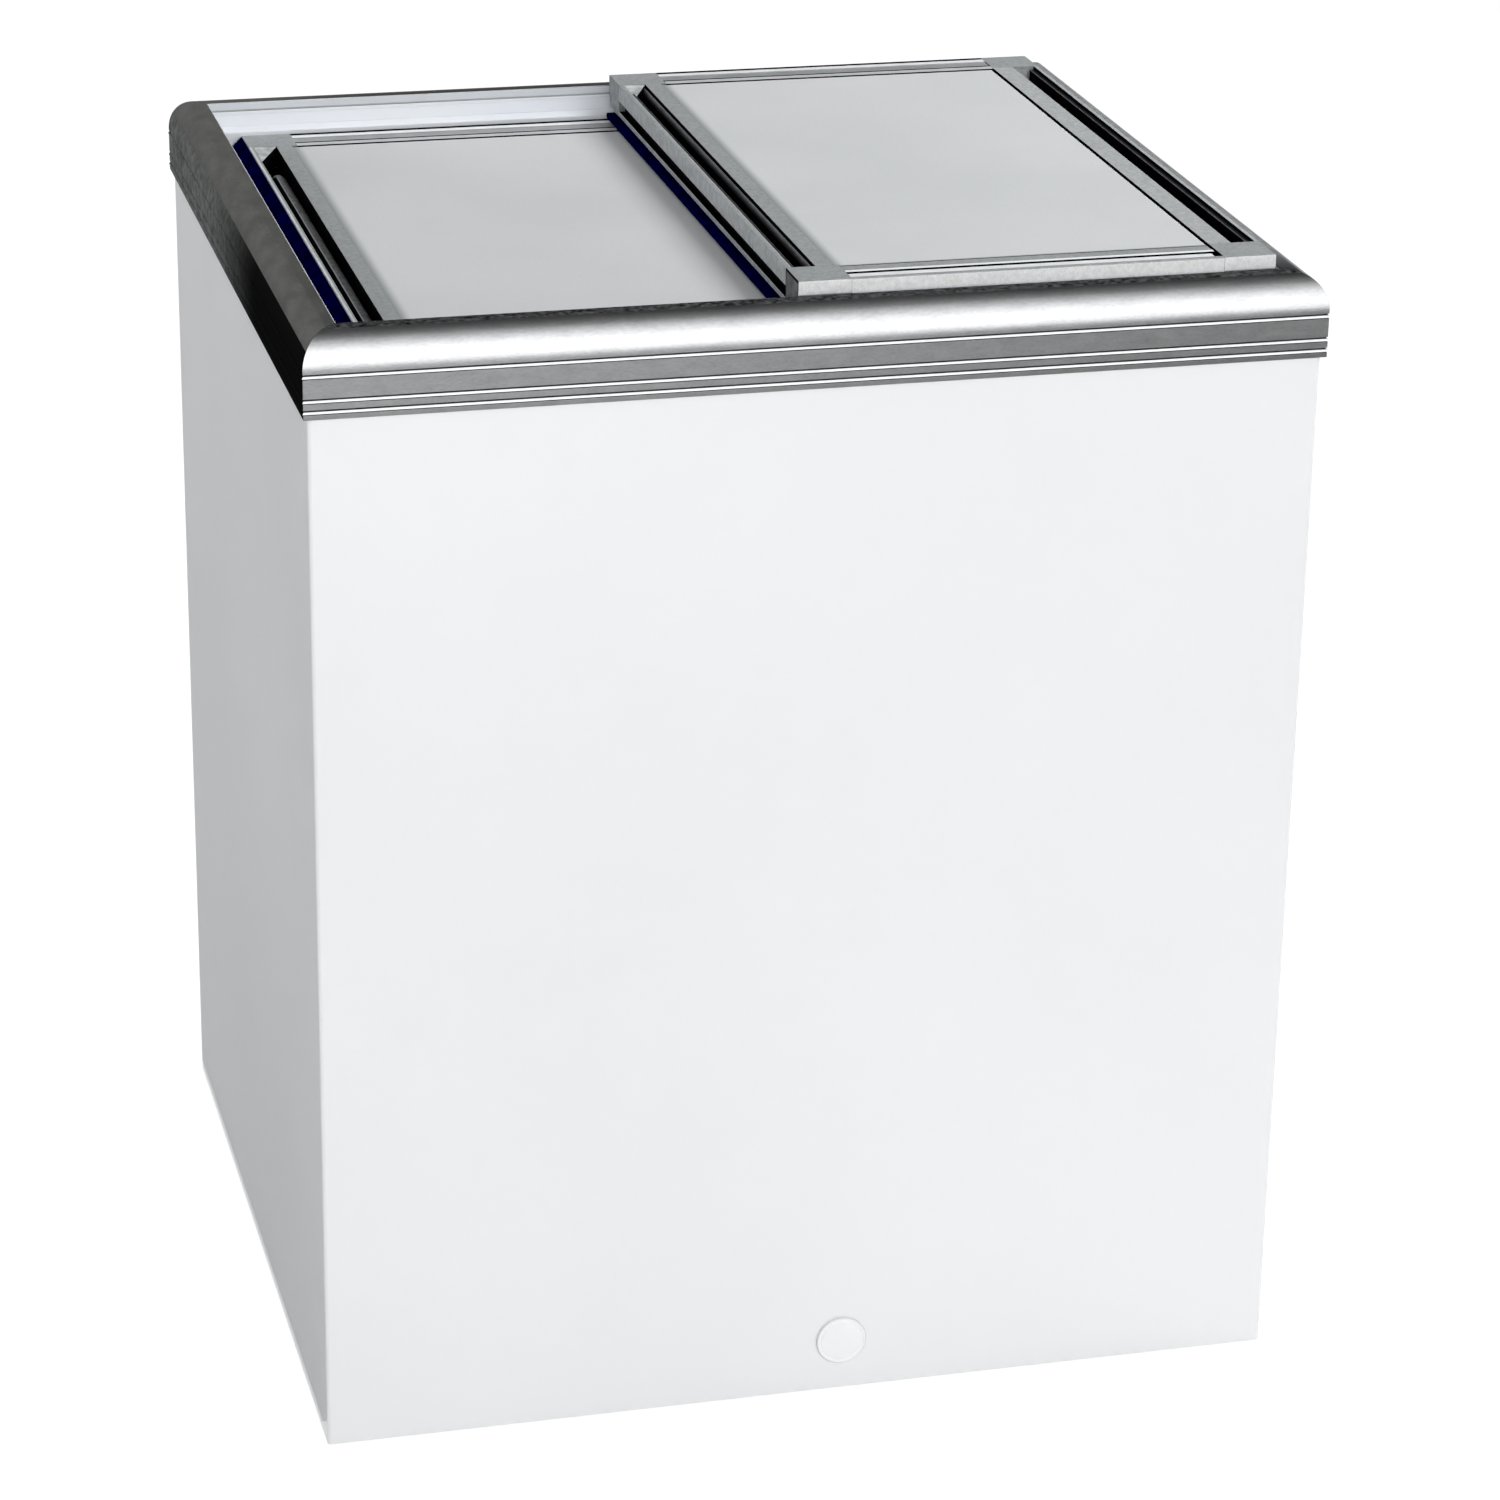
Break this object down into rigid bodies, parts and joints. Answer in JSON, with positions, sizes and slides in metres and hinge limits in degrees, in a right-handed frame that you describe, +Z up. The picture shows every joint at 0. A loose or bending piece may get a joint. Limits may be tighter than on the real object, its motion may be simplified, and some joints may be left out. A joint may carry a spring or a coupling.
{
  "type": "chest freezer",
  "caption": "Chest freezer with a plain white cabinet, a rounded metal rim and insulated lids that slide past each other on stepped tracks, with a drain cap low on the front.",
  "frame": {"origin": "centre of the rim's footprint, on the floor under the feet", "axes": "+X right-hand side seen from the front, +Y the back, +Z up"},
  "size_m": [0.72, 0.65, 0.85],
  "materials": {
    "white_paint": "smooth semi-gloss powder coat on steel sheet",
    "rim_metal": "satin drawn profile with a soft sheen",
    "lid_panel": "matt light grey sheet",
    "lid_frame": "satin grey moulded and drawn plastic",
    "tank_skin": "smooth white coated sheet",
    "foam": "rigid cast foam",
    "zinc_steel": "zinc-coated steel",
    "copper": "drawn copper tube",
    "black_paint": "semi-gloss black enamel",
    "black_plastic": "fine-textured moulding",
    "rubber": "soft matt rubber",
    "white_plastic": "satin white moulding"
  },
  "bodies": {
    "cabinet": {"front_panel": "white_paint", "rear_panel": "white_paint", "left_side_panel": "white_paint", "right_side_panel": "white_paint", "base_pan": "zinc_steel", "compressor_plate": "zinc_steel", "foot_front_left": "black_plastic", "foot_front_right": "black_plastic", "foot_rear_left": "black_plastic", "foot_rear_right": "black_plastic", "insulation_foam": "foam", "inner_tank": "tank_skin", "breaker_frame": "white_plastic", "rim_front": "rim_metal", "rim_rear": "rim_metal", "rim_left": "rim_metal", "rim_right": "rim_metal", "rim_key_front_left": "zinc_steel", "rim_key_front_right": "zinc_steel", "rim_key_rear_left": "zinc_steel", "rim_key_rear_right": "zinc_steel", "evaporator_coil": "copper", "condenser_coil": "copper", "compressor": "black_paint", "rubber_mount_1": "rubber", "rubber_mount_2": "rubber", "rubber_mount_3": "rubber", "rubber_mount_4": "rubber", "relay_box": "black_plastic", "filter_drier": "copper", "suction_pipe": "copper", "discharge_pipe": "copper", "rear_grille": "white_paint", "control_tray": "black_plastic", "thermostat_body": "white_plastic", "cord_gland": "black_plastic", "drain_tube": "white_plastic"},
    "upper_lid": {"upper_lid_panel": "lid_panel", "upper_lid_left_grip": "lid_frame", "upper_lid_right_grip": "lid_frame", "upper_lid_front_edge": "lid_frame", "upper_lid_rear_edge": "lid_frame", "upper_lid_block_front_left": "lid_frame", "upper_lid_block_front_right": "lid_frame", "upper_lid_block_rear_left": "lid_frame", "upper_lid_block_rear_right": "lid_frame", "upper_lid_seal": "rubber"},
    "lower_lid": {"lower_lid_panel": "lid_panel", "lower_lid_left_grip": "lid_frame", "lower_lid_right_grip": "lid_frame", "lower_lid_front_edge": "lid_frame", "lower_lid_rear_edge": "lid_frame", "lower_lid_block_front_left": "lid_frame", "lower_lid_block_front_right": "lid_frame", "lower_lid_block_rear_left": "lid_frame", "lower_lid_block_rear_right": "lid_frame", "lower_lid_seal": "rubber"},
    "drain_cap": {"drain_cap": "white_plastic"},
    "tank_drain_plug": {"tank_drain_plug": "white_plastic"},
    "thermostat_knob": {"thermostat_knob": "white_plastic"}
  },
  "joints": [
    {"name": "upper_lid_slide", "type": "slide", "parent": "cabinet", "child": "upper_lid", "axis": [-1, 0, 0], "range_m": [0, 0.311]},
    {"name": "lower_lid_slide", "type": "slide", "parent": "cabinet", "child": "lower_lid", "axis": [1, 0, 0], "range_m": [0, 0.295]},
    {"name": "drain_cap_pull", "type": "slide", "parent": "cabinet", "child": "drain_cap", "axis": [0, -1, 0], "range_m": [0, 0.03]},
    {"name": "tank_plug_lift", "type": "slide", "parent": "cabinet", "child": "tank_drain_plug", "axis": [0, 0, 1], "range_m": [0, 0.04]},
    {"name": "thermostat_turn", "type": "hinge", "parent": "cabinet", "child": "thermostat_knob", "pos_m": [0.29, 0.31, 0.201], "axis": [0, 1, 0], "range_deg": [0, 270]}
  ]
}
